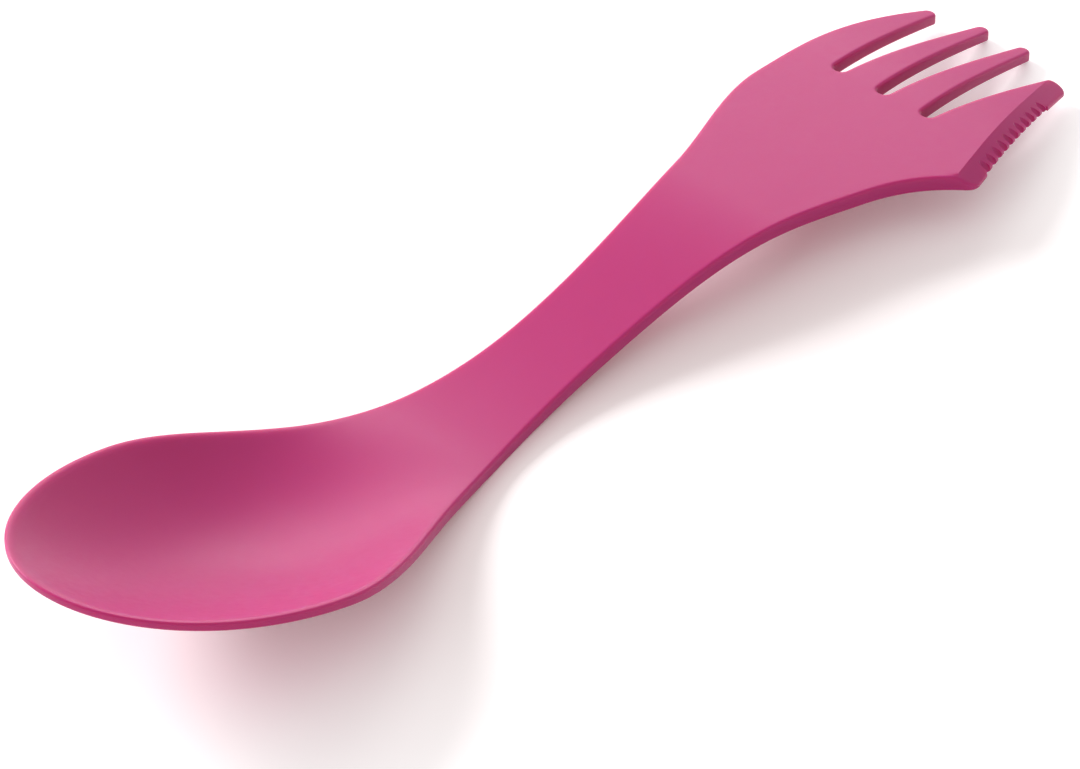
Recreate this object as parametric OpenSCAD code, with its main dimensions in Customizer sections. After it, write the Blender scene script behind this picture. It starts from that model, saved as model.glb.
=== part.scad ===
// Spork: a spoon at one end, a four-tined fork with a small serrated knife edge
// at the other, and one flat handle between them, moulded in one piece.
// The spoon's tip points to -X, the tines to +X and the knife edge to -Y. The spork
// lies as it rests on a table: on the underside of its neck and on its tine ends.

/* [Spork] */
// Length from the spoon's tip to the end of the longest tine
spork_len = 170; // [160:1:185]
// Width of the handle at its waist
waist_w = 12.1; // [10:0.1:14]
// Place of the waist on the way from the neck to the fork's flare
waist_share = 0.503; // [0.4:0.001:0.6]
// Thickness of the handle at the waist
handle_t = 2.1; // [1.6:0.1:3]
// Radius that rounds the edges of the rim and the handle
edge_r = 0.4; // [0.2:0.05:0.6]

/* [Side view] */
// Height of the rim at the spoon's tip
tip_h = 20.2; // [17:0.1:23]
// Height of the rim at the back of the bowl
bowl_back_h = 7.4; // [6.6:0.1:8.2]
// Height of the top face at the neck, its lowest place
neck_h = 2.05; // [1.6:0.05:2.6]
// Height of the top face halfway up the handle
rise_h = 5.9; // [5:0.1:7]
// Height of the top face at the palm of the fork, its highest place
palm_h = 8.35; // [7.4:0.05:9.4]
// Height of the top face where the tines begin
root_h = 7.4; // [6.5:0.05:8]
// Height of the top face at the ends of the tines
end_h = 1.85; // [1.3:0.05:2.2]
// Distance from the spoon's tip to the back of the bowl
bowl_back_at = 40; // [36:1:44]
// Distance from the spoon's tip to the lowest place of the neck
neck_at = 66; // [60:1:72]
// Place halfway up the handle, on the way from the lowest place to the palm
rise_share = 0.612; // [0.5:0.001:0.7]
// Distance from the tines' ends back to the highest place of the palm
palm_back = 55; // [50:1:60]

/* [Spoon] */
// Width across the bowl
spoon_w = 39.2; // [34:0.1:42]
// Distance from the spoon's tip to its widest place
widest_at = 28.9; // [26:0.1:32]
// Width of the neck behind the bowl
neck_w = 22.4; // [20:0.1:25]
// Distance from the spoon's tip to that neck
neck_in_at = 54; // [50:1:57]
// Depth of the bowl below its rim
dish_d = 6.4; // [4:0.1:7]
// Distance from the spoon's tip to the end of the bowl
dish_end = 62; // [58:1:70]
// Flat top of the rim, from its outer edge
lip_w = 0.8; // [0.6:0.1:1.5]
// Thickness of the wall at the spoon's tip
rim_t = 1.2; // [1.2:0.1:2]

/* [Fork] */
// Width across the fork behind its slots, without the knife's heel
fork_w = 28.8; // [27:0.1:31]
// Distance from the tines' ends back to where the fork reaches that width
shoulder_back = 33; // [31:0.1:36]
// Width where the handle widens to the fork
flare_w = 18.1; // [16:0.1:21]
// Distance from the tines' ends back to that width
flare_back = 54.4; // [52:0.1:57]
// Thickness of the palm
palm_t = 2.2; // [1.8:0.1:3]
// Thickness of the tines at their ends
tine_t = 1.65; // [1.2:0.05:2.2]
// Distance from the tines' ends back to the bottoms of the slots
slot_len = 25.8; // [22:0.1:28]
// Radius of a slot's bottom
slot_r = 1; // [0.6:0.05:1.2]
// Distance between neighbouring slots at their bottoms
slot_pitch = 7.2; // [6:0.1:7.6]
// Distance of the plain outer tine's end behind the middle ones
outer_back = 2.6; // [0:0.1:5]
// Radius of a tine's end
tine_r = 0.95; // [0.7:0.05:1.3]
// Distance from the middle line to the end of a middle tine
inner_y = 3.4; // [3:0.1:4]
// Distance from the middle line to the end of the plain outer tine
outer_y = 10.2; // [9.5:0.1:12]

/* [Knife] */
// Distance from the middle line to the outermost point of the heel
heel_y = 20.3; // [19:0.1:22]
// Distance from the tines' ends back to the middle of the heel's round
heel_back = 31; // [29:0.1:34]
// Radius of the heel
heel_r = 2; // [1.5:0.1:3]
// Angle of the knife edge to the middle line
knife_a = 15.2; // [13:0.2:18]
// Width of the bevel above the knife edge
bevel_w = 2.4; // [1.5:0.1:2.8]
// Thickness that the bevel leaves at the knife edge
bevel_t = 0.6; // [0.4:0.1:1]
// Distance from the tines' ends back to where the side starts out to the heel
heel_start_back = 43; // [40:1:46]
// Distance of the knife tine's end behind the middle ones
knife_back = 3.9; // [0:0.1:5]
// Radius of the knife tine's end
knife_r = 1.35; // [0.8:0.05:1.6]
// Distance that the toothed stretch lies behind the plain edge at its two ends
tooth_back = 0.2; // [0:0.05:0.6]
// Depth of the notch that a groove leaves in the edge
tooth_d = 0.35; // [0.2:0.05:0.5]
// Number of grooves between the teeth
tooth_n = 11; // [5:1:12]
// Distance from the middle of the heel's round to the first groove
tooth_start = 3.5; // [2:0.1:5]
// Distance from tooth to tooth
tooth_pitch = 1.74; // [1.5:0.02:1.8]
// Width of a tooth's groove at the edge
tooth_w = 1.1; // [0.8:0.1:1.4]
// Distance that a groove runs in from the edge
tooth_run = 1.2; // [0.8:0.1:1.5]

/* [Hidden] */
spork_colour = [0.78, 0.32, 0.53];

// How far cutting shapes reach past what they cut
overrun = 2;

// Places along the spork, as distances from the spoon's tip
palm_at = spork_len - palm_back;
shoulder_at = spork_len - shoulder_back;
flare_at = spork_len - flare_back;
slot_at = spork_len - slot_len;
heel_at = spork_len - heel_back;
heel_start_at = spork_len - heel_start_back;
waist_at = neck_in_at + (flare_at - neck_in_at) * waist_share;
rise_at = neck_at + (palm_at - neck_at) * rise_share;

// Slopes of the side view, up as the distance from the spoon's tip grows
tip_slope_share = -0.358;
bowl_slope_share = -0.349;
rise_slope_share = 0.198;
root_slope_share = -0.064;
end_slope_share = -0.277;

// Slopes of the half width, and of the outer tine's side at its end
neck_slope_share = -0.353;
flare_slope_share = 0.211;
heel_start_slope_share = 0.36;
heel_slope_share = 1.19;
outer_slope_share = -0.3;

// Rows of a track: distance from the spoon's tip, value, slope
height_track = [
    [0, tip_h, tip_slope_share],
    [bowl_back_at, bowl_back_h, bowl_slope_share],
    [neck_at, neck_h, 0],
    [rise_at, rise_h, rise_slope_share],
    [palm_at, palm_h, 0],
    [slot_at, root_h, root_slope_share],
    [spork_len, end_h, end_slope_share]
];
half_track = [
    [widest_at, spoon_w / 2, 0],
    [neck_in_at, neck_w / 2, neck_slope_share],
    [waist_at, waist_w / 2, 0],
    [flare_at, flare_w / 2, flare_slope_share],
    [shoulder_at, fork_w / 2, 0]
];
dish_track = [
    [widest_at, dish_d, 0],
    [dish_end, 0, 0]
];
wall_track = [
    [0, rim_t, 0],
    [waist_at, handle_t, 0],
    [shoulder_at, palm_t, 0],
    [spork_len, tine_t, 0]
];

// A smooth curve through the rows of a track
function hermite(a, b, x) =
    let (span = b[0] - a[0], u = (x - a[0]) / span)
    (1 - 3 * u * u + 2 * u * u * u) * a[1]
    + (u - 2 * u * u + u * u * u) * span * a[2]
    + (3 * u * u - 2 * u * u * u) * b[1]
    + (u * u * u - u * u) * span * b[2];
function row_of(rows, x, i = 0) =
    i >= len(rows) - 2 || x < rows[i + 1][0] ? i : row_of(rows, x, i + 1);
function track(rows, x) =
    let (last = rows[len(rows) - 1], i = row_of(rows, x))
    x <= rows[0][0] ? rows[0][1]
    : x >= last[0] ? last[1] + (x - last[0]) * last[2]
    : hermite(rows[i], rows[i + 1], x);

// Half the width at a distance from the spoon's tip: a quarter ellipse to the
// widest place, and a smooth curve behind it. The bowl's hollow is the same shape,
// smaller by the flat top of its rim
function half(x, less = 0) =
    x < widest_at ? (spoon_w / 2 - less) * sqrt(max(1 - pow((widest_at - x) / (widest_at - less), 2), 0))
    : track(half_track, x) - less;

// The two edges of the knife's bevel, as distances from the middle line
knife_slope = tan(knife_a);
bevel_across = bevel_w / cos(knife_a);
heel_edge_y = heel_y - heel_r + heel_r / cos(knife_a);
function knife_out(x) = heel_edge_y - (x - heel_at) * knife_slope;
function knife_in(x) = knife_out(x) - bevel_across;

// The toothed stretch of that edge, half a tooth longer than its grooves at each end
tooth_step = tooth_pitch * cos(knife_a);
first_tooth_at = heel_at + tooth_start;
teeth_from = first_tooth_at - tooth_step / 2;
teeth_to = first_tooth_at + (tooth_n - 0.5) * tooth_step;

// Top face and walls at a distance from the spoon's tip
function rim_z(x) = track(height_track, x);
function wall(x) = track(wall_track, x);
function hollow(x, y) =
    x < widest_at ? dish_d * (1 - pow((widest_at - x) / (widest_at - lip_w), 2) - pow(y / (spoon_w / 2 - lip_w), 2))
    : track(dish_track, x) * (1 - pow(y / half(x, lip_w), 2));
function top_z(x, y) = rim_z(x) - max(hollow(x, y), 0);

// From here to the tines the sheet is wider than the fork that is cut from it
fork_at = (waist_at + shoulder_at) / 2;
fork_start = fork_at - overrun / 100;
spread_share = 0.9;
function spread(x) = max(x - fork_at, 0) * spread_share;
function far_half(x) = half(x) + min(spread(x), overrun);
function near_half(x) = x < fork_at ? half(x) : min(half(x) + spread(x), knife_out(x) + bevel_t / 2);

// Steps across the sheet, round its edges, round a tine's end and along a side
across_n = 14;
round_n = 3;
end_n = 8;
plan_n = 12;

// Points of an arc from one angle to another
function arc(middle, r, from, to, n) =
    [for (i = [0:n]) let (a = from + (to - from) * i / n) middle + r * [cos(a), sin(a)]];

// One closed ring of points across the sheet: over the top from +Y to -Y, down the
// knife's side and back below
function ring(x) =
    let (z = rim_z(x), t = wall(x),
         r = x > fork_at ? bevel_t / 4 : min(edge_r, half(x) / 4),
         far = far_half(x), near = near_half(x),
         flat = x < fork_at ? max(half(x, lip_w), half(x) / 2) : far - lip_w,
         inner = x < fork_at ? flat : min(near - lip_w, knife_in(x)),
         drop = max(near - r - knife_in(x), 0) * (t - bevel_t) / bevel_across,
         across = [for (i = [0:across_n]) flat - (flat + inner) * i / across_n])
    concat(
        arc([far - r, z - r], r, 0, 90, round_n),
        [for (y = across) [y, top_z(x, y)]],
        arc([r - near, z - drop - r], r, 90, 180, round_n),
        arc([r - near, z - t + r], r, 180, 270, round_n),
        [for (i = [across_n:-1:0]) [across[i], top_z(x, across[i]) - t]],
        arc([far - r, z - t + r], r, 270, 360, round_n)
    );

// Distances of the rings from the spoon's tip, close together where the tip is round
tip_n = 11;
handle_n = 30;
fork_n = 24;
sheet_end = spork_len + overrun;
stations = concat(
    [for (i = [1:tip_n]) widest_at * (1 - cos(90 * (i - 1 + 1 / tip_n) / (tip_n - 1 + 1 / tip_n)))],
    [for (i = [1:handle_n]) widest_at + (fork_at - widest_at) * i / handle_n],
    [for (i = [1:fork_n]) fork_at + (sheet_end - fork_at) * i / fork_n]
);

// The whole spork as one bent and dished sheet, before its fork is cut
module sheet() {
    rings = [for (x = stations) ring(x)];
    ring_len = len(rings[0]);
    last = len(stations) - 1;
    points = [for (i = [0:last]) for (p = rings[i]) [stations[i], p[0], p[1]]];
    sides = [for (i = [0:last - 1]) for (j = [0:ring_len - 1])
        let (a = i * ring_len + j, b = i * ring_len + (j + 1) % ring_len)
        each [[a, a + ring_len, b + ring_len], [a, b + ring_len, b]]];
    front = [[for (j = [0:ring_len - 1]) j]];
    back = [[for (j = [ring_len - 1:-1:0]) last * ring_len + j]];
    polyhedron(points, concat(front, sides, back));
}

// Ends of the tines and bottoms of the slots, from the plain outer tine to the knife
tine_ends = [
    [spork_len - outer_back - tine_r, outer_y],
    [spork_len - tine_r, inner_y],
    [spork_len - tine_r, -inner_y],
    [knife_end_x(), knife_r / cos(knife_a) - knife_out(knife_end_x())]
];
tine_radii = [tine_r, tine_r, tine_r, knife_r];
slot_roots = [for (i = [1:-1:-1]) [slot_at + slot_r, i * slot_pitch]];
function knife_end_x() = spork_len - knife_back - knife_r;

// Angle of the straight side between a slot's bottom and a tine's end. The tine lies
// on the +Y side of the slot where side is 1, and on its -Y side where it is -1
function side_angle(root, tip, tip_r, side) =
    let (way = tip - root)
    atan2(way[1], way[0]) - side * asin((tip_r + slot_r) / norm(way));

// Outline of the fork from above, with room round the rest of the spork
module fork_plan() {
    outer_a = 90 + atan(outer_slope_share);
    outer_end = tine_ends[0] + tine_r * [cos(outer_a), sin(outer_a)];
    outer_rows = [[shoulder_at, fork_w / 2, 0], [outer_end[0], outer_end[1], outer_slope_share]];
    heel_mid = [heel_at, heel_r - heel_y];
    heel_end_a = -90 - atan(heel_slope_share);
    heel_end = heel_mid + heel_r * [cos(heel_end_a), sin(heel_end_a)];
    heel_rows = [[heel_start_at, half(heel_start_at), heel_start_slope_share],
                 [heel_end[0], -heel_end[1], heel_slope_share]];
    far_side = [for (i = [0:plan_n]) let (x = fork_start + (shoulder_at - fork_start) * i / plan_n) [x, half(x)]];
    outer_side = [for (i = [1:plan_n - 1])
        let (x = shoulder_at + (outer_end[0] - shoulder_at) * i / plan_n) [x, track(outer_rows, x)]];
    tines = [for (i = [0:3]) let (
            above = i == 0 ? outer_a - 90 : side_angle(slot_roots[i - 1], tine_ends[i], tine_radii[i], -1),
            below = i == 3 ? knife_a : side_angle(slot_roots[i], tine_ends[i], tine_radii[i], 1),
            next = i == 3 ? 0 : side_angle(slot_roots[i], tine_ends[i + 1], tine_radii[i + 1], -1))
        each concat(
            arc(tine_ends[i], tine_radii[i], 90 + above, below - 90, end_n),
            i == 3 ? [] : arc(slot_roots[i], slot_r, 90 + below, 270 + next, end_n))];
    teeth = [for (p = [[teeth_to, 0], [teeth_to, 1], [teeth_from, 1], [teeth_from, 0]])
        [p[0], p[1] * tooth_back / cos(knife_a) - knife_out(p[0])]];
    heel = arc(heel_mid, heel_r, knife_a - 90, heel_end_a, end_n);
    heel_side = [for (i = [plan_n - 1:-1:0])
        let (x = heel_start_at + (heel_end[0] - heel_start_at) * i / plan_n) [x, -track(heel_rows, x)]];
    near_side = [for (i = [plan_n - 1:-1:0])
        let (x = fork_start + (heel_start_at - fork_start) * i / plan_n) [x, -half(x)]];
    room = [[fork_start, -heel_y - overrun], [-overrun, -heel_y - overrun],
            [-overrun, spoon_w / 2 + overrun], [fork_start, spoon_w / 2 + overrun]];
    polygon(concat(far_side, outer_side, tines, teeth, heel, heel_side, near_side, room));
}

// Rounded grooves across the knife's bevel, which notch its edge
module grooves() {
    for (i = [0:tooth_n - 1]) {
        x = first_tooth_at + i * tooth_step;
        rise = bevel_t + (tooth_back + tooth_run) * (wall(x) - bevel_t) / bevel_w;
        translate([x, -knife_out(x), rim_z(x) - wall(x)])
            rotate([0, 0, knife_a])
            translate([0, tooth_back + tooth_d, 0])
            rotate([atan2(rise, tooth_run - tooth_d) - 90, 0, 0])
            translate([0, -tooth_w / 2, -overrun])
            cylinder(d = tooth_w, h = 3 * overrun, $fn = 24);
    }
}

// The lowest place of the underside, which lies on the table
ground = min([for (x = stations) if (x < spork_len) top_z(x, 0) - wall(x)]);

// The whole spork, set with the middle of its outline over the origin
module spork() {
    color(spork_colour)
        translate([-spork_len / 2, (heel_y - spoon_w / 2) / 2, -ground])
        difference() {
            intersection() {
                sheet();
                translate([0, 0, -overrun])
                    linear_extrude(height = tip_h + 2 * overrun) fork_plan();
            }
            grooves();
        }
}

spork();
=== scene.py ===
"""Spork: the finished plastic moulding, its studio floor, lights and camera."""

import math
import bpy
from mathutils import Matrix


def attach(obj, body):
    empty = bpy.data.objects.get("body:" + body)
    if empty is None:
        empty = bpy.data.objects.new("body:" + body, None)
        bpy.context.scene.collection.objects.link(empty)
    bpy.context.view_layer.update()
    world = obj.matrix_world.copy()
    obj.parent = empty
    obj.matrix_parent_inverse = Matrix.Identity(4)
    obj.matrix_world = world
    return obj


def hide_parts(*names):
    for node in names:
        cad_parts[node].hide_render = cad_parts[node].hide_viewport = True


bl_info = {
    "name": "Spork",
    "version": (1, 0, 0),
    "blender": (4, 5, 0),
    "location": "View3D > Sidebar > Spork",
    "description": "Builds a moulded plastic spork with a serrated knife tine, and a plain studio",
    "category": "Object",
}

import bmesh
import bpy
import numpy as np
from bpy.props import FloatProperty, FloatVectorProperty, IntProperty, PointerProperty
from mathutils import Matrix, Vector
from mathutils.geometry import delaunay_2d_cdt

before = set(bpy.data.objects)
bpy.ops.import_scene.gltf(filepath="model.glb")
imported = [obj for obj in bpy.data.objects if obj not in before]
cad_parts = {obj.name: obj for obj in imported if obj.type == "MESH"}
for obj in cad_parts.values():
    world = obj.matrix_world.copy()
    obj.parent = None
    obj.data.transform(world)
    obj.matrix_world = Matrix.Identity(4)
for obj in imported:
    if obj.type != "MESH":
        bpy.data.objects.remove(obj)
MM = 0.001

# Places along the spork, in millimetres from the spoon's tip
WIDEST_AT = 28.9
BOWL_BACK_AT = 40
NECK_SIDE_AT = 54
HOLLOW_END_AT = 62
NECK_AT = 66
WAIST_AT = 85
RISE_AT = 96
PALM_AT = 115
FLARE_AT = 115.6
HEEL_START_AT = 127
SHOULDER_AT = 137.0
HEEL_AT = 139.0
ROOT_AT = 144.2

# Half widths at the neck's side and the flare, and other fixed sizes, in millimetres
NECK_HALF = 11.2
FLARE_HALF = 9.05
SHOULDER_WALL = 2.2
HEEL_RADIUS = 2.0
FIRST_GROOVE_FROM_HEEL = 3.5
END_RADIUS = 0.95
KNIFE_END_RADIUS = 1.35
SLOT_RADIUS = 1.0
SLOT_PITCH = 7.2
OUTER_TINE_BACK = 2.6
KNIFE_TINE_BACK = 3.9
OUTER_TINE_Y = 10.2
MIDDLE_TINE_Y = 3.4

# Slopes of the outline, as sideways travel over length
OUTER_TINE_SLOPE = -0.3
HEEL_START_SLOPE = 0.36
HEEL_SLOPE = 1.19

# Distance of the lamps, half width of the floor, and where the floor turns white, in metres; over that
# last span the painted pink bounce light next to the spork fades out
LAMP_DISTANCE = 0.9
FLOOR_HALF = 3.0
PAINTED_BOUNCE_FROM = 0.02
PAINTED_BOUNCE_TO = 0.13

# Length of the cutters that make the grooves, in metres
CUTTER_LENGTH = 0.006

# Steps of the mesh, in millimetres
OUTLINE_STEP = 0.8
HEEL_STEP = 0.6
EDGE_STEP = 0.75
GRID_STEP = 0.72


# Settings


class SporkShape(bpy.types.PropertyGroup):
    """Sizes of the moulding."""

    length: FloatProperty(
        name="Length", description="From the spoon's tip to the ends of the middle tines",
        default=0.170, min=0.1, unit="LENGTH")
    tip_height: FloatProperty(
        name="Tip height", description="Height of the rim at the spoon's tip",
        default=0.0202, min=0.0, unit="LENGTH")
    bowl_back_height: FloatProperty(
        name="Bowl back height", description="Height of the rim at the back of the bowl",
        default=0.0074, min=0.0, unit="LENGTH")
    neck_height: FloatProperty(
        name="Neck height", description="Height of the top face at the neck, its lowest place",
        default=0.00205, min=0.0, unit="LENGTH")
    rise_height: FloatProperty(
        name="Rise height", description="Height of the top face halfway up the handle",
        default=0.0059, min=0.0, unit="LENGTH")
    palm_height: FloatProperty(
        name="Palm height", description="Height of the top face at the palm of the fork",
        default=0.00835, min=0.0, unit="LENGTH")
    root_height: FloatProperty(
        name="Root height", description="Height of the top face where the tines begin",
        default=0.0074, min=0.0, unit="LENGTH")
    end_height: FloatProperty(
        name="End height", description="Height of the top face at the ends of the tines",
        default=0.00185, min=0.0, unit="LENGTH")
    bowl_width: FloatProperty(
        name="Bowl width", description="Width across the bowl's rim",
        default=0.0392, min=0.01, unit="LENGTH")
    bowl_depth: FloatProperty(
        name="Bowl depth", description="Depth of the bowl below its rim",
        default=0.0064, min=0.0, unit="LENGTH")
    waist_width: FloatProperty(
        name="Waist width", description="Width of the handle at its waist",
        default=0.0121, min=0.004, unit="LENGTH")
    fork_width: FloatProperty(
        name="Fork width", description="Width across the fork behind its slots, without the heel",
        default=0.0288, min=0.01, unit="LENGTH")
    rim_wall: FloatProperty(
        name="Rim wall", description="Thickness of the wall at the spoon's tip",
        default=0.0012, min=0.0005, unit="LENGTH")
    handle_wall: FloatProperty(
        name="Handle wall", description="Thickness of the handle",
        default=0.0021, min=0.0005, unit="LENGTH")
    tine_wall: FloatProperty(
        name="Tine wall", description="Thickness of the tines at their ends",
        default=0.00165, min=0.0005, unit="LENGTH")
    lip_width: FloatProperty(
        name="Lip width", description="Width of the flat lip round the bowl",
        default=0.0008, min=0.0002, unit="LENGTH")
    edge_radius: FloatProperty(
        name="Edge radius", description="Radius that rounds every outer edge",
        default=0.00036, min=0.0001, unit="LENGTH")


class KnifeShape(bpy.types.PropertyGroup):
    """Sizes of the knife's bevel and of the grooves across it."""

    heel_out: FloatProperty(
        name="Heel out", description="From the middle line to the outermost point of the heel",
        default=0.0203, min=0.01, unit="LENGTH")
    edge_angle: FloatProperty(
        name="Edge angle", description="Angle of the knife's edge to the middle line",
        default=math.radians(15.2), subtype="ANGLE", unit="ROTATION")
    bevel_width: FloatProperty(
        name="Bevel width", description="Width of the bevel above the knife's edge",
        default=0.0024, min=0.0005, unit="LENGTH")
    edge_wall: FloatProperty(
        name="Edge wall", description="Thickness that the bevel leaves at the knife's edge",
        default=0.0006, min=0.0002, unit="LENGTH")
    toothed_back: FloatProperty(
        name="Toothed back",
        description="Distance that the toothed stretch lies behind the plain edge at its ends",
        default=0.0002, min=0.0, unit="LENGTH")
    groove_count: IntProperty(
        name="Grooves", description="Number of grooves across the bevel", default=11, min=1)
    groove_pitch: FloatProperty(
        name="Groove pitch", description="Distance from groove to groove",
        default=0.00174, min=0.0008, unit="LENGTH")
    groove_width: FloatProperty(
        name="Groove width", description="Width of a groove at the edge",
        default=0.0011, min=0.0004, unit="LENGTH")
    groove_notch: FloatProperty(
        name="Groove notch", description="Depth of the notch that a groove leaves in the edge",
        default=0.00035, min=0.0, unit="LENGTH")
    groove_run: FloatProperty(
        name="Groove run", description="Distance that a groove runs in from the edge",
        default=0.0012, min=0.0004, unit="LENGTH")


class PlasticFinish(bpy.types.PropertyGroup):
    """Colour and surface of the moulded plastic."""

    colour: FloatVectorProperty(
        name="Colour", description="Main colour of the plastic", subtype="COLOR", size=3,
        default=(0.428, 0.0175, 0.147), min=0.0, max=1.0)
    warm_colour: FloatVectorProperty(
        name="Warm colour", description="Colour where the pigment lies a little thicker",
        subtype="COLOR", size=3, default=(0.413, 0.0150, 0.138), min=0.0, max=1.0)
    roughness_low: FloatProperty(
        name="Lowest roughness", description="Roughness where the surface is smoothest",
        default=0.33, min=0.0, max=1.0, subtype="FACTOR")
    roughness_high: FloatProperty(
        name="Highest roughness", description="Roughness where the surface is dullest",
        default=0.39, min=0.0, max=1.0, subtype="FACTOR")
    grain_size: FloatProperty(
        name="Grain size", description="Size of the fine spark-eroded grain of the mould",
        default=0.00022, min=0.00005, unit="LENGTH")
    grain_height: FloatProperty(
        name="Grain height", description="Height of that grain",
        default=0.000006, min=0.0, unit="LENGTH")


class StudioSettings(bpy.types.PropertyGroup):
    """Floor, lamps and camera."""

    floor_colour: FloatVectorProperty(
        name="Floor colour", description="Colour of the floor", subtype="COLOR", size=3,
        default=(0.86, 0.86, 0.86), min=0.0, max=1.0)
    # painted light: a pink glow that the floor shows next to the spork, standing in for pink light thrown
    # into the spork's shadow by the plastic
    painted_bounce_lift: FloatVectorProperty(
        name="Floor lift",
        description="Light that the floor adds for the camera next to the spork, tinted as its shadow is",
        subtype="COLOR", size=3, default=(0.145, 0.068, 0.062), min=0.0, max=1.0)
    key_power: FloatProperty(
        name="Key power", description="Power of the lamp behind the handle, which casts the shadow",
        default=8.9, min=0.0, unit="POWER")
    fill_power: FloatProperty(
        name="Fill power", description="Power of the large lamp behind the fork",
        default=2.0, min=0.0, unit="POWER")
    side_power: FloatProperty(
        name="Side power", description="Power of the large lamp beyond the spoon",
        default=0.9, min=0.0, unit="POWER")
    lamp_height: FloatProperty(
        name="Lamp height", description="Height of the lamps above the table, as an angle",
        default=math.radians(28.5), subtype="ANGLE", unit="ROTATION")
    world_level: FloatProperty(
        name="World level", description="Strength of the even light from all round",
        default=0.64, min=0.0)
    view_azimuth: FloatProperty(
        name="View azimuth", description="Direction of the camera round the spork",
        default=math.radians(-46.632), subtype="ANGLE", unit="ROTATION")
    view_elevation: FloatProperty(
        name="View elevation", description="Height of the camera above the table, as an angle",
        default=math.radians(39.953), subtype="ANGLE", unit="ROTATION")
    view_roll: FloatProperty(
        name="View roll", description="Turn of the camera about its own axis",
        default=math.radians(-0.903), subtype="ANGLE", unit="ROTATION")
    view_target: FloatVectorProperty(
        name="View target", description="Point in the middle of the picture",
        subtype="TRANSLATION", unit="LENGTH", default=(-0.012284, -0.007319, 0.008))
    view_distance: FloatProperty(
        name="View distance", description="Distance from the camera to that point",
        default=0.63234, min=0.05, unit="LENGTH")
    view_lens: FloatProperty(
        name="View lens", description="Focal length on a 36 mm wide sensor, in millimetres",
        default=178.449, min=20.0)


# Lines of the moulding, in millimetres from the spoon's tip


def hermite(a, b, x):
    """Smooth curve from row a to row b; a row is distance, value, slope."""
    span = b[0] - a[0]
    u = (x - a[0]) / span
    return ((1 - 3 * u**2 + 2 * u**3) * a[1] + (u - 2 * u**2 + u**3) * span * a[2]
            + (3 * u**2 - 2 * u**3) * b[1] + (u**3 - u**2) * span * b[2])


def track(rows, x):
    """Value of the smooth curve through rows, straight on past its last one."""
    x = np.asarray(x, float)
    rows = np.array(rows, float)
    i = np.clip(np.searchsorted(rows[:, 0], x, side="right") - 1, 0, len(rows) - 2)
    value = hermite(np.moveaxis(rows[i], -1, 0), np.moveaxis(rows[i + 1], -1, 0), x)
    value = np.where(x <= rows[0, 0], rows[0, 1], value)
    return np.where(x >= rows[-1, 0], rows[-1, 1] + (x - rows[-1, 0]) * rows[-1, 2], value)


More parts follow.
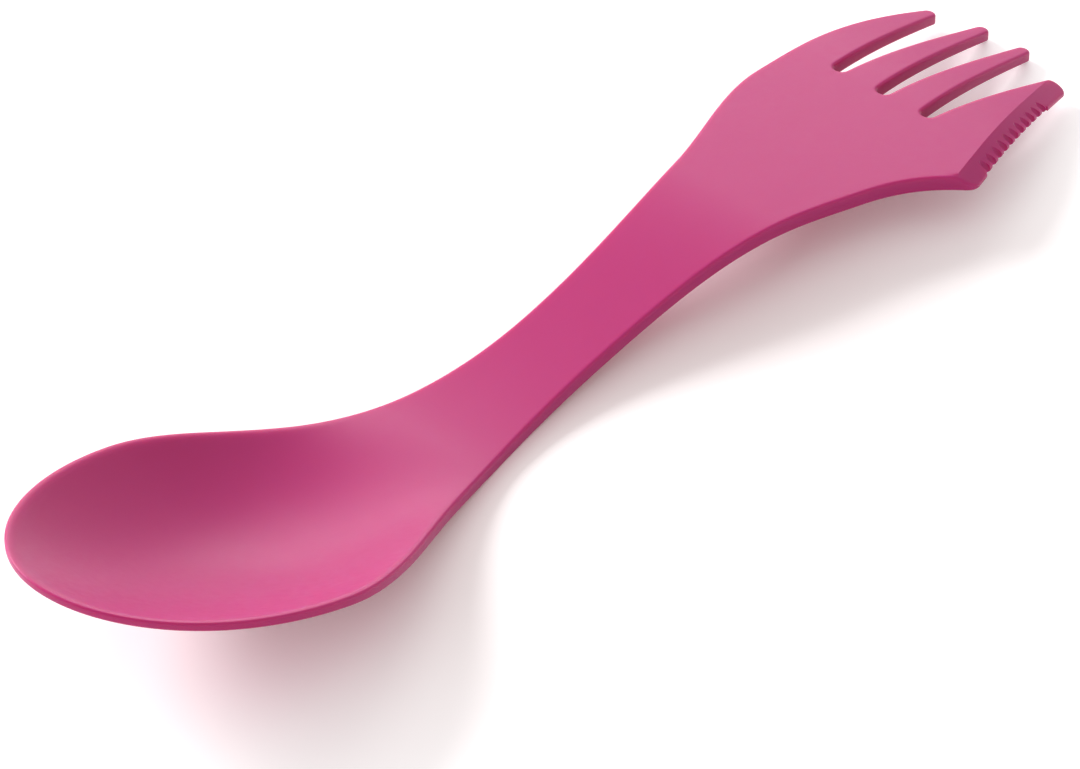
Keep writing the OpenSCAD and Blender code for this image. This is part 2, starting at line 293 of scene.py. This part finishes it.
class Lines:
    """The spork's outline and faces, worked out from the settings."""

    def __init__(self, shape, knife):
        mm = lambda v: v / MM
        self.length = mm(shape.length)
        self.lip = mm(shape.lip_width)
        self.depth = mm(shape.bowl_depth)
        self.radius = mm(shape.edge_radius)
        self.bowl_half = mm(shape.bowl_width) / 2
        self.fork_half = mm(shape.fork_width) / 2
        # each row is a place, the value there and its slope
        self.height_rows = [
            (0, mm(shape.tip_height), -0.358), (BOWL_BACK_AT, mm(shape.bowl_back_height), -0.349),
            (NECK_AT, mm(shape.neck_height), 0), (RISE_AT, mm(shape.rise_height), 0.198),
            (PALM_AT, mm(shape.palm_height), 0), (ROOT_AT, mm(shape.root_height), -0.064),
            (self.length, mm(shape.end_height), -0.277)]
        self.half_rows = [
            (WIDEST_AT, self.bowl_half, 0), (NECK_SIDE_AT, NECK_HALF, -0.353),
            (WAIST_AT, mm(shape.waist_width) / 2, 0), (FLARE_AT, FLARE_HALF, 0.211),
            (SHOULDER_AT, self.fork_half, 0)]
        self.hollow_rows = [(WIDEST_AT, self.depth, 0), (HOLLOW_END_AT, 0, 0)]
        self.wall_rows = [
            (0, mm(shape.rim_wall), 0), (WAIST_AT, mm(shape.handle_wall), 0),
            (SHOULDER_AT, SHOULDER_WALL, 0), (self.length, mm(shape.tine_wall), 0)]
        # the knife's edge, as a distance from the middle line that falls towards the tines
        self.knife_a = knife.edge_angle
        self.heel_out = mm(knife.heel_out)
        self.bevel = mm(knife.bevel_width) / math.cos(self.knife_a)
        self.edge_wall = mm(knife.edge_wall)
        # the toothed stretch, half a tooth longer than its grooves at each end
        self.step = mm(knife.groove_pitch) * math.cos(self.knife_a)
        self.first_groove = HEEL_AT + FIRST_GROOVE_FROM_HEEL
        self.last_groove = self.first_groove + (knife.groove_count - 1) * self.step
        self.toothed_back = mm(knife.toothed_back)
        # where the middle of the outline lies, and the height of the table
        self.shift = (self.heel_out - self.bowl_half) / 2
        x = np.linspace(0, self.length, 600)
        self.ground = float((self.top(x, 0.0) - self.wall(x)).min())

    def rim(self, x):
        """Height of the bowl's rim, and of the top face behind the bowl."""
        return track(self.height_rows, x)

    def wall(self, x):
        """Thickness of the sheet."""
        return track(self.wall_rows, x)

    def half(self, x, less=0.0):
        """Half width: a quarter ellipse to the widest place, and a smooth curve behind it."""
        x = np.asarray(x, float)
        a = (WIDEST_AT - np.minimum(x, WIDEST_AT)) / (WIDEST_AT - less)
        front = (self.bowl_half - less) * np.sqrt(np.clip(1 - a**2, 0, None))
        return np.where(x < WIDEST_AT, front, track(self.half_rows, x) - less)

    def knife_out(self, x):
        """Distance of the knife's edge from the middle line."""
        edge = self.heel_out - HEEL_RADIUS + HEEL_RADIUS / math.cos(self.knife_a)
        return edge - (x - HEEL_AT) * math.tan(self.knife_a)

    def knife_in(self, x):
        """Distance of the bevel's crease from the middle line."""
        return self.knife_out(x) - self.bevel

    def hollow(self, x, y):
        """Depth of the bowl, with its inner edge softened where it meets the lip."""
        x = np.asarray(x, float)
        front = 1 - ((WIDEST_AT - x) / (WIDEST_AT - self.lip))**2 - (y / (self.bowl_half - self.lip))**2
        back = 1 - (y / np.maximum(self.half(np.maximum(x, WIDEST_AT), self.lip), 0.1))**2
        share = np.where(x < WIDEST_AT, front, back)
        soft = 0.035
        share = (share + np.sqrt(share**2 + soft**2)) / 2
        depth = np.where(x < WIDEST_AT, self.depth, track(self.hollow_rows, x))
        return depth * share

    def top(self, x, y):
        """Height of the top face."""
        return self.rim(x) - self.hollow(x, y)

    def bevel_drop(self, x, y):
        """How far the bevel lies below the top face."""
        share = np.clip((-y - self.knife_in(x)) / self.bevel, 0, 1)
        share = np.where(np.asarray(x) > HEEL_START_AT - 2, share, 0)
        return share * (self.wall(x) - self.edge_wall)


def arc(middle, r, start, end, n):
    """Points of an arc, in degrees."""
    a = np.radians(np.linspace(start, end, n + 1))
    return [(middle[0] + r * math.cos(v), middle[1] + r * math.sin(v)) for v in a]


def side_angle(root, tip, root_r, tip_r, side):
    """Angle of the straight side between a slot's bottom and a tine's end."""
    dx, dy = tip[0] - root[0], tip[1] - root[1]
    return math.degrees(math.atan2(dy, dx) - side * math.asin((tip_r + root_r) / math.hypot(dx, dy)))


def outline(s):
    """Closed outline from above, clockwise from the spoon's tip along the far side."""
    points = []
    for a in np.linspace(0, math.pi / 2, 46):
        points.append((WIDEST_AT * (1 - math.cos(a)), s.bowl_half * math.sin(a)))
    for x in np.arange(WIDEST_AT + OUTLINE_STEP, SHOULDER_AT, OUTLINE_STEP):
        points.append((x, float(s.half(x))))
    # middles and radii of the tines' round ends and of the slots' round bottoms
    end_x = s.length - END_RADIUS
    knife_x = s.length - KNIFE_TINE_BACK - KNIFE_END_RADIUS
    ends = [(s.length - OUTER_TINE_BACK - END_RADIUS, OUTER_TINE_Y),
            (end_x, MIDDLE_TINE_Y), (end_x, -MIDDLE_TINE_Y),
            (knife_x, KNIFE_END_RADIUS / math.cos(s.knife_a) - s.knife_out(knife_x))]
    radii = [END_RADIUS, END_RADIUS, END_RADIUS, KNIFE_END_RADIUS]
    roots = [(ROOT_AT + SLOT_RADIUS, i * SLOT_PITCH) for i in (1, 0, -1)]
    outer_a = 90 + math.degrees(math.atan(OUTER_TINE_SLOPE))
    last = (ends[0][0] + END_RADIUS * math.cos(math.radians(outer_a)),
            ends[0][1] + END_RADIUS * math.sin(math.radians(outer_a)))
    rows = [(SHOULDER_AT, s.fork_half, 0), (*last, OUTER_TINE_SLOPE)]
    for x in np.arange(SHOULDER_AT, last[0] - 0.3, OUTLINE_STEP):
        points.append((x, float(track(rows, x))))
    knife_deg = math.degrees(s.knife_a)
    for i in range(4):
        above = outer_a - 90 if i == 0 else side_angle(roots[i - 1], ends[i], SLOT_RADIUS, radii[i], -1)
        below = knife_deg if i == 3 else side_angle(roots[i], ends[i], SLOT_RADIUS, radii[i], 1)
        points += arc(ends[i], radii[i], 90 + above, below - 90, 16)
        if i < 3:
            after = side_angle(roots[i], ends[i + 1], SLOT_RADIUS, radii[i + 1], -1)
            points += arc(roots[i], SLOT_RADIUS, 90 + below, 270 + after, 14)
    # the toothed stretch, set back from the edge
    set_back = s.toothed_back / math.cos(s.knife_a)
    half_step = s.step / 2
    for x, back in ((s.last_groove + half_step, 0), (s.last_groove + half_step, set_back),
                    (s.first_groove - half_step, set_back), (s.first_groove - half_step, 0)):
        points.append((x, back - s.knife_out(x)))
    # the heel, and the near side back to the bowl
    heel_mid = (HEEL_AT, HEEL_RADIUS - s.heel_out)
    heel_end = -90 - math.degrees(math.atan(HEEL_SLOPE))
    points += arc(heel_mid, HEEL_RADIUS, knife_deg - 90, heel_end, 14)
    hx, hy = points[-1]
    rows = [(HEEL_START_AT, float(s.half(HEEL_START_AT)), HEEL_START_SLOPE), (hx, -hy, HEEL_SLOPE)]
    for x in np.arange(hx - HEEL_STEP, HEEL_START_AT, -HEEL_STEP):
        points.append((x, -float(track(rows, x))))
    for x in np.arange(HEEL_START_AT, WIDEST_AT, -OUTLINE_STEP):
        points.append((x, -float(s.half(x))))
    for a in np.linspace(math.pi / 2, 0, 46)[:-1]:
        points.append((WIDEST_AT * (1 - math.cos(a)), -s.bowl_half * math.sin(a)))
    # long straight sides are cut into short pieces, so that they follow the bent sheet
    out = []
    for p, q in zip(points, points[1:] + points[:1]):
        n = max(1, int(math.hypot(q[0] - p[0], q[1] - p[1]) / EDGE_STEP))
        out += [(p[0] + (q[0] - p[0]) * k / n, p[1] + (q[1] - p[1]) * k / n) for k in range(n)]
    return np.array(out)


def inward(loop):
    """Unit vectors into a clockwise loop at each of its points."""
    way = np.roll(loop, -1, 0) - loop
    way /= np.hypot(*way.T)[:, None]
    mean = way + np.roll(way, 1, 0)
    mean /= np.hypot(*mean.T)[:, None]
    return np.c_[mean[:, 1], -mean[:, 0]]


def inside(points, loop):
    """Which of the points lie inside the loop."""
    x, y = points[:, :1], points[:, 1:]
    x0, y0 = loop[:, 0], loop[:, 1]
    x1, y1 = np.roll(loop[:, 0], -1), np.roll(loop[:, 1], -1)
    cross = (y0 > y) != (y1 > y)
    at = x0 + (y - y0) * (x1 - x0) / np.where(y1 == y0, 1e-12, y1 - y0)
    return (cross & (x < at)).sum(1) % 2 == 1


def clear_of(points, others, gap):
    """Which of the points lie at least a gap away from all the others."""
    keep = np.ones(len(points), bool)
    for start in range(0, len(points), 2000):
        part = points[start:start + 2000]
        d2 = ((part[:, None, :] - others[None, :, :])**2).sum(-1).min(1)
        keep[start:start + 2000] = d2 > gap * gap
    return keep


def moulding_mesh(s, name):
    """One closed mesh of the moulding: top and bottom faces, rounded edges and side walls."""
    loop = outline(s)
    n = len(loop)
    into = inward(loop)
    edge_left = s.wall(loop[:, 0]) - s.bevel_drop(loop[:, 0], loop[:, 1])
    radius = np.minimum(s.radius, edge_left * 0.32)
    turns = np.radians([0, 18, 36, 54, 72, 90])
    inner_ring = 0.62
    rings, drops = [], []
    for t in turns:
        rings.append(loop + into * (radius * (1 - math.cos(t)))[:, None])
        drops.append(radius * (1 - math.sin(t)))
    rings.append(loop + into * inner_ring)
    drops.append(np.zeros(n))
    inner = rings[-1]

    # the crease above the knife's bevel, then points spread over the rest; each kind of point
    # keeps a gap from those laid down before it
    crease_x = np.arange(HEEL_AT - 6, s.length, 0.4)
    crease = np.c_[crease_x, -s.knife_in(crease_x)]
    crease = crease[inside(crease, inner)]
    crease = crease[clear_of(crease, inner, 0.12)]
    # rows of a triangular grid, wide enough for the bowl and the heel
    gx, gy = np.meshgrid(np.arange(0.4, s.length, GRID_STEP * 0.866), np.arange(-21.5, 21.5, GRID_STEP))
    gy = gy + (np.arange(gx.shape[1]) % 2)[None, :] * GRID_STEP / 2
    grid = np.c_[gx.ravel(), gy.ravel()]
    # rings that follow the bowl's lip, and lines that follow the crease
    lips = np.vstack([(loop + into * d)[loop[:, 0] < HOLLOW_END_AT - 2] for d in (0.95, 1.35, 1.9)])
    across = np.array([math.sin(s.knife_a), -math.cos(s.knife_a)])
    bank = np.vstack([crease + k * across for k in (-0.5, -0.2, 0.2, 0.5, 0.9, 1.3, 1.7)])
    loose = np.vstack([lips, bank])
    loose = loose[inside(loose, inner)]
    loose = loose[clear_of(loose, inner, 0.2)]
    loose = loose[clear_of(loose, crease, 0.15)]
    grid = grid[inside(grid, inner)]
    grid = grid[clear_of(grid, inner, 0.42)]
    grid = grid[clear_of(grid, crease, 0.35)]
    grid = grid[clear_of(grid, loose, 0.36)]
    flat = np.vstack([inner, crease, loose, grid])
    edges = [(i, (i + 1) % n) for i in range(n)]
    edges += [(n + i, n + i + 1) for i in range(len(crease) - 1)]
    got, _, faces, origin, _, _ = delaunay_2d_cdt([Vector(p) for p in flat], edges, [], 0, 1e-6, True)
    got = np.array([tuple(v) for v in got])
    middles = np.array([got[list(f)].mean(0) for f in faces])
    faces = [f for f, within in zip(faces, inside(middles, inner)) if within]
    from_ring = {o: k for k, oo in enumerate(origin) for o in oo if o < n}

    # one set of points for the top and one for the bottom, sharing no row
    def lift(plan, drop, upper):
        """Points of the plan, raised to the top or the bottom face."""
        x, y = plan[:, 0], plan[:, 1]
        face = s.top(x, y)
        z = face - s.bevel_drop(x, y) - drop if upper else face - s.wall(x) + drop
        return np.c_[x - s.length / 2, y + s.shift, z - s.ground]

    verts, polys, creased = [], [], []

    def side(upper):
        """Adds the face and rounded edge of the top or the bottom, and gives its outer row."""
        base = sum(len(v) for v in verts)
        for ring, drop in zip(rings[:-1], drops[:-1]):
            verts.append(lift(ring, drop, upper))
        mid = base + n * (len(rings) - 1)
        verts.append(lift(got, 0.0, upper))
        rows = [[base + k * n + i for i in range(n)] for k in range(len(rings) - 1)]
        rows.append([mid + from_ring[i] for i in range(n)])
        for a, b in zip(rows, rows[1:]):
            for i in range(n):
                j = (i + 1) % n
                quad = (a[i], a[j], b[j], b[i])
                polys.append(quad if not upper else quad[::-1])
        for f in faces:
            p = got[list(f)]
            q = np.roll(p, -1, 0)
            area = (p[:, 0] * q[:, 1] - q[:, 0] * p[:, 1]).sum()
            ids = [mid + k for k in f]
            polys.append(tuple(ids if (area > 0) == upper else ids[::-1]))
        if upper:
            where = {o: mid + k for k, oo in enumerate(origin) for o in oo}
            creased.extend(where[n + i] for i in range(len(crease)))
        return rows[0]

    upper_row = side(True)
    lower_row = side(False)
    for i in range(n):
        j = (i + 1) % n
        polys.append((upper_row[i], upper_row[j], lower_row[j], lower_row[i]))
    mesh = bpy.data.meshes.new(name)
    mesh.from_pydata((np.vstack(verts) * MM).tolist(), [], polys)
    mesh.update()
    line = set(creased)
    for e in mesh.edges:
        if e.vertices[0] in line and e.vertices[1] in line:
            e.use_edge_sharp = True
    return mesh


# Materials


def add(tree, kind, x, y, **inputs):
    """A node with some of its inputs set."""
    node = tree.nodes.new(kind)
    node.location = (x, y)
    for key, value in inputs.items():
        node.inputs[key.replace("_", " ")].default_value = value
    return node


def reckon(tree, operation, x, y, second=None):
    """A Math node, with its second input set where one is given."""
    node = add(tree, "ShaderNodeMath", x, y)
    node.operation = operation
    if second is not None:
        node.inputs[1].default_value = second
    return node


def colour_mix(tree, x, y, first, second):
    """A node from one colour to another; input 0 is the share and output 2 the result."""
    node = add(tree, "ShaderNodeMix", x, y)
    node.data_type = "RGBA"
    node.inputs[6].default_value = (*first, 1)
    node.inputs[7].default_value = (*second, 1)
    return node


def satin_plastic(finish):
    """Pink satin plastic with a fine moulded grain."""
    mat = bpy.data.materials.new("pink_satin_plastic")
    mat.use_nodes = True
    tree = mat.node_tree
    tree.nodes.clear()
    link = tree.links.new
    out = add(tree, "ShaderNodeOutputMaterial", 900, 0)
    skin = add(tree, "ShaderNodeBsdfPrincipled", 600, 0, IOR=1.49, Specular_IOR_Level=0.30,
               Subsurface_Weight=0.4, Subsurface_Radius=(1.0, 0.15, 0.25), Subsurface_Scale=0.003)
    link(skin.outputs["BSDF"], out.inputs["Surface"])
    place = add(tree, "ShaderNodeTexCoord", -900, 0)
    # pigment drawn out along the flow of the moulding
    flow = add(tree, "ShaderNodeMapping", -700, 250, Scale=(0.35, 1.0, 1.0))
    cloud = add(tree, "ShaderNodeTexNoise", -500, 250, Scale=130.0, Detail=3.0, Roughness=0.55)
    blend = colour_mix(tree, 250, 250, finish.colour, finish.warm_colour)
    link(place.outputs["Object"], flow.inputs["Vector"])
    link(flow.outputs["Vector"], cloud.inputs["Vector"])
    link(cloud.outputs["Fac"], blend.inputs[0])
    link(blend.outputs[2], skin.inputs["Base Color"])
    # dull and smooth patches, and the grain of the mould
    patch = add(tree, "ShaderNodeTexNoise", -500, 0, Scale=900.0, Detail=5.0, Roughness=0.6)
    level = add(tree, "ShaderNodeMapRange", -250, 0, From_Min=0.3, From_Max=0.7,
                To_Min=finish.roughness_low, To_Max=finish.roughness_high)
    link(place.outputs["Object"], patch.inputs["Vector"])
    link(patch.outputs["Fac"], level.inputs["Value"])
    link(level.outputs["Result"], skin.inputs["Roughness"])
    grain = add(tree, "ShaderNodeTexNoise", -500, -300,
                Scale=1.0 / finish.grain_size, Detail=2.0, Roughness=0.5)
    bump = add(tree, "ShaderNodeBump", 250, -300, Strength=1.0, Distance=finish.grain_height)
    link(place.outputs["Object"], grain.inputs["Vector"])
    link(grain.outputs["Fac"], bump.inputs["Height"])
    link(bump.outputs["Normal"], skin.inputs["Normal"])
    return mat


def seen_directly(tree, x, y):
    """One for the rays that show the background: camera, glossy and transmission rays."""
    path = add(tree, "ShaderNodeLightPath", x, y)
    first = reckon(tree, "MAXIMUM", x + 200, y)
    both = reckon(tree, "MAXIMUM", x + 400, y)
    tree.links.new(path.outputs["Is Camera Ray"], first.inputs[0])
    tree.links.new(path.outputs["Is Glossy Ray"], first.inputs[1])
    tree.links.new(first.outputs[0], both.inputs[0])
    tree.links.new(path.outputs["Is Transmission Ray"], both.inputs[1])
    return both.outputs[0]


def white_floor(studio):
    """Matt white that keeps shadows, lifted for the camera to full white away from the spork; next to the
    spork the lift is a painted pink bounce light in its shadow.
    """
    mat = bpy.data.materials.new("white_floor")
    mat.use_nodes = True
    tree = mat.node_tree
    tree.nodes.clear()
    link = tree.links.new
    out = add(tree, "ShaderNodeOutputMaterial", 600, 0)
    paint = add(tree, "ShaderNodeBsdfDiffuse", 0, 0, Color=(*studio.floor_colour, 1))
    lift = add(tree, "ShaderNodeEmission", 0, -200)
    full = 1.0 - min(studio.floor_colour) * studio.world_level
    # painted pink bounce light next to the spork, blending out to the plain full-white lift away from it
    painted_bounce_mix = colour_mix(tree, -300, -450, studio.painted_bounce_lift, (full, full, full))
    place = add(tree, "ShaderNodeTexCoord", -900, -450)
    away = add(tree, "ShaderNodeVectorMath", -700, -450)
    away.operation = "LENGTH"
    rise = add(tree, "ShaderNodeMapRange", -500, -450, From_Min=PAINTED_BOUNCE_FROM, From_Max=PAINTED_BOUNCE_TO)
    rise.interpolation_type = "SMOOTHSTEP"
    both = add(tree, "ShaderNodeAddShader", 300, 0)
    link(place.outputs["Object"], away.inputs[0])
    link(away.outputs["Value"], rise.inputs["Value"])
    link(rise.outputs["Result"], painted_bounce_mix.inputs[0])
    link(painted_bounce_mix.outputs[2], lift.inputs["Color"])
    link(seen_directly(tree, -750, -200), lift.inputs["Strength"])
    link(paint.outputs[0], both.inputs[0])
    link(lift.outputs[0], both.inputs[1])
    link(both.outputs[0], out.inputs["Surface"])
    return mat


# Grooves across the bevel


def groove_tree(mat):
    """Geometry nodes that set round cutters at even steps along a path."""
    tree = bpy.data.node_groups.new("bevel_grooves", "GeometryNodeTree")
    face = tree.interface
    face.new_socket("Geometry", in_out="INPUT", socket_type="NodeSocketGeometry")
    face.new_socket("Geometry", in_out="OUTPUT", socket_type="NodeSocketGeometry")
    for name, kind, value in (("Count", "NodeSocketInt", 11), ("Radius", "NodeSocketFloat", 0.00065),
                              ("Depth", "NodeSocketFloat", CUTTER_LENGTH),
                              ("Turn", "NodeSocketFloat", 0.3), ("Tilt", "NodeSocketFloat", 0.8)):
        socket = face.new_socket(name, in_out="INPUT", socket_type=kind)
        socket.default_value = value
    link = tree.links.new
    given = add(tree, "NodeGroupInput", -900, 0)
    result = add(tree, "NodeGroupOutput", 900, 0)
    path = add(tree, "GeometryNodeMeshToCurve", -700, 200)
    steps = add(tree, "GeometryNodeResampleCurve", -500, 200)
    cutter = add(tree, "GeometryNodeMeshCylinder", -700, -100, Vertices=32)
    # the cutter's lowest line goes through the path's point
    lift = add(tree, "ShaderNodeCombineXYZ", -500, -250)
    drop = reckon(tree, "MULTIPLY", -650, -300, -1.0)
    shift = add(tree, "GeometryNodeTransform", -300, -100)
    lean = add(tree, "ShaderNodeCombineXYZ", -300, -350)
    tip = reckon(tree, "SUBTRACT", -450, -400, math.pi / 2)
    copies = add(tree, "GeometryNodeInstanceOnPoints", 0, 100)
    real = add(tree, "GeometryNodeRealizeInstances", 250, 100)
    paint = add(tree, "GeometryNodeSetMaterial", 500, 100, Material=mat)
    link(given.outputs["Geometry"], path.inputs[0])
    link(path.outputs[0], steps.inputs["Curve"])
    link(given.outputs["Count"], steps.inputs["Count"])
    link(given.outputs["Radius"], cutter.inputs["Radius"])
    link(given.outputs["Depth"], cutter.inputs["Depth"])
    link(given.outputs["Radius"], drop.inputs[0])
    link(drop.outputs[0], lift.inputs["Y"])
    link(cutter.outputs["Mesh"], shift.inputs["Geometry"])
    link(lift.outputs[0], shift.inputs["Translation"])
    link(given.outputs["Tilt"], tip.inputs[0])
    link(tip.outputs[0], lean.inputs["X"])
    link(given.outputs["Turn"], lean.inputs["Z"])
    link(steps.outputs[0], copies.inputs["Points"])
    link(shift.outputs[0], copies.inputs["Instance"])
    link(lean.outputs[0], copies.inputs["Rotation"])
    link(copies.outputs[0], real.inputs[0])
    link(real.outputs[0], paint.inputs["Geometry"])
    link(paint.outputs[0], result.inputs[0])
    return tree


def plain_mesh(obj, name):
    """The object's evaluated geometry as a mesh of its own, with no modifier left."""
    bpy.context.view_layer.update()
    graph = bpy.context.evaluated_depsgraph_get()
    mesh = bpy.data.meshes.new_from_object(obj.evaluated_get(graph), depsgraph=graph)
    mesh.name = name
    obj.modifiers.clear()
    obj.data = mesh
    return mesh


def groove_cutters(s, knife, mat):
    """One mesh of round cutters along the knife's lower edge."""
    x = np.linspace(s.first_groove, s.last_groove, 41)
    notch = s.toothed_back + knife.groove_notch / MM
    px = x - notch * math.sin(s.knife_a)
    py = -s.knife_out(x) + notch * math.cos(s.knife_a)
    pz = s.rim(x) - s.wall(x)
    path = bpy.data.meshes.new("knife_path")
    line = np.c_[px - s.length / 2, py + s.shift, pz - s.ground] * MM
    path.from_pydata(line.tolist(), [(i, i + 1) for i in range(len(line) - 1)], [])
    obj = bpy.data.objects.new("knife_path", path)
    bpy.context.scene.collection.objects.link(obj)
    tree = groove_tree(mat)
    grow = obj.modifiers.new("grooves", "NODES")
    grow.node_group = tree
    run = knife.groove_run / MM
    wall = float(s.wall((s.first_groove + s.last_groove) / 2))
    rise = s.edge_wall + (s.toothed_back + run) * (wall - s.edge_wall) / (knife.bevel_width / MM)
    values = {"Count": knife.groove_count, "Radius": knife.groove_width / 2, "Depth": CUTTER_LENGTH,
              "Turn": s.knife_a, "Tilt": math.atan2(rise, run - knife.groove_notch / MM)}
    for item in tree.interface.items_tree:
        if item.in_out == "INPUT" and item.name in values:
            grow[item.identifier] = values[item.name]
    plain_mesh(obj, "knife_grooves")
    return obj


def mark_groove_edges(mesh, s):
    """Keeps the bevel's crease and the edges of the grooves crisp."""
    bm = bmesh.new()
    bm.from_mesh(mesh)
    low = math.radians(24)
    for e in bm.edges:
        if len(e.link_faces) != 2:
            continue
        x = (e.verts[0].co.x / MM) + s.length / 2
        y = e.verts[0].co.y / MM - s.shift
        near_bevel = x > HEEL_AT - 3 and -y > s.knife_in(x) - 0.3
        if near_bevel and e.calc_face_angle(0.0) > low:
            e.smooth = False
    bm.to_mesh(mesh)
    bm.free()


# Operators


class SPORK_OT_moulding(bpy.types.Operator):
    """Make the whole spork with its bowl, handle, tines and serrated knife's edge."""

    bl_idname = "spork.moulding"
    bl_label = "Spork moulding"

    def execute(self, context):
        scene = context.scene
        s = Lines(scene.spork_shape, scene.spork_knife)
        mat = satin_plastic(scene.spork_finish)
        mesh = moulding_mesh(s, "spork_moulding")
        mesh.materials.append(mat)
        piece = bpy.data.objects.new("spork_moulding", mesh)
        scene.collection.objects.link(piece)
        cutters = groove_cutters(s, scene.spork_knife, mat)
        whole = len(mesh.polygons)
        cut = piece.modifiers.new("grooves", "BOOLEAN")
        cut.operation = "DIFFERENCE"
        cut.solver = "EXACT"
        cut.object = cutters
        mesh = plain_mesh(piece, "spork_moulding")
        bpy.data.objects.remove(cutters)
        if len(mesh.polygons) < whole:
            raise RuntimeError("the grooves were not cut")
        mesh.shade_smooth()
        mark_groove_edges(mesh, s)
        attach(piece, "root")
        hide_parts("spork")
        return {"FINISHED"}


class SPORK_OT_studio(bpy.types.Operator):
    """Make the floor, the lamps, the even light and the camera."""

    bl_idname = "spork.studio"
    bl_label = "Studio"

    def execute(self, context):
        scene = context.scene
        studio = scene.spork_studio
        floor = bpy.data.meshes.new("floor")
        w = FLOOR_HALF
        floor.from_pydata([(-w, -w, 0), (w, -w, 0), (w, w, 0), (-w, w, 0)], [], [(0, 1, 2, 3)])
        floor.materials.append(white_floor(studio))
        ground = bpy.data.objects.new("floor", floor)
        scene.collection.objects.link(ground)
        high = studio.lamp_height
        self.lamp(scene, "key", math.radians(98), high, 0.5, 0.26, studio.key_power)
        self.lamp(scene, "fill", math.radians(45), high, 0.5, 0.5, studio.fill_power)
        self.lamp(scene, "side", math.radians(160), high, 0.5, 0.5, studio.side_power)
        world = bpy.data.worlds.new("even_light")
        scene.world = world
        world.use_nodes = True
        tree = world.node_tree
        back = tree.nodes["Background"]
        back.inputs["Color"].default_value = (1, 1, 1, 1)
        level = reckon(tree, "MAXIMUM", -200, 200, studio.world_level)
        tree.links.new(seen_directly(tree, -800, 200), level.inputs[0])
        tree.links.new(level.outputs[0], back.inputs["Strength"])
        self.camera(scene, studio)
        scene.view_settings.view_transform = "Standard"
        return {"FINISHED"}

    def lamp(self, scene, name, way, height, width, depth, power):
        """A soft lamp that looks at the spork from a direction and a height, both angles."""
        data = bpy.data.lights.new(name, "AREA")
        data.shape = "RECTANGLE"
        data.size = width
        data.size_y = depth
        data.energy = power
        lamp = bpy.data.objects.new(name, data)
        level = math.cos(height)
        place = LAMP_DISTANCE * Vector((math.cos(way) * level, math.sin(way) * level, math.sin(height)))
        lamp.location = place
        lamp.rotation_euler = (-place).to_track_quat("-Z", "Y").to_euler()
        scene.collection.objects.link(lamp)

    def camera(self, scene, studio):
        """A camera at the view's angles, aimed at its target."""
        a, e, r = studio.view_azimuth, studio.view_elevation, studio.view_roll
        back = Vector((math.sin(a) * math.cos(e), -math.cos(a) * math.cos(e), math.sin(e)))
        right = Vector((math.cos(a), math.sin(a), 0))
        up = back.cross(right)
        across = math.cos(r) * right + math.sin(r) * up
        above = -math.sin(r) * right + math.cos(r) * up
        data = bpy.data.cameras.new("camera")
        data.sensor_fit = "HORIZONTAL"
        data.sensor_width = 36
        data.lens = studio.view_lens
        data.clip_start = 0.01
        camera = bpy.data.objects.new("camera", data)
        place = Vector(studio.view_target) + back * studio.view_distance
        turn = Matrix((across, above, back)).transposed().to_4x4()
        camera.matrix_world = Matrix.Translation(place) @ turn
        scene.collection.objects.link(camera)
        scene.camera = camera


class SPORK_PT_panel(bpy.types.Panel):
    """Lists the spork's settings and buttons."""

    bl_label = "Spork"
    bl_idname = "SPORK_PT_panel"
    bl_space_type = "VIEW_3D"
    bl_region_type = "UI"
    bl_category = "Spork"

    def draw(self, context):
        layout = self.layout
        scene = context.scene
        for title, group in (("Shape", scene.spork_shape), ("Knife", scene.spork_knife),
                             ("Plastic", scene.spork_finish), ("Studio", scene.spork_studio)):
            box = layout.box()
            box.label(text=title)
            for key in group.__annotations__:
                box.prop(group, key)
        layout.operator("spork.moulding")
        layout.operator("spork.studio")


CLASSES = (SporkShape, KnifeShape, PlasticFinish, StudioSettings,
           SPORK_OT_moulding, SPORK_OT_studio, SPORK_PT_panel)


def register():
    for cls in CLASSES:
        bpy.utils.register_class(cls)
    bpy.types.Scene.spork_shape = PointerProperty(type=SporkShape)
    bpy.types.Scene.spork_knife = PointerProperty(type=KnifeShape)
    bpy.types.Scene.spork_finish = PointerProperty(type=PlasticFinish)
    bpy.types.Scene.spork_studio = PointerProperty(type=StudioSettings)


def unregister():
    for name in ("spork_shape", "spork_knife", "spork_finish", "spork_studio"):
        delattr(bpy.types.Scene, name)
    for cls in reversed(CLASSES):
        bpy.utils.unregister_class(cls)


def main():
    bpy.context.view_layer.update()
    register()
    bpy.ops.spork.moulding()
    bpy.ops.spork.studio()


if __name__ == "__main__":
    main()
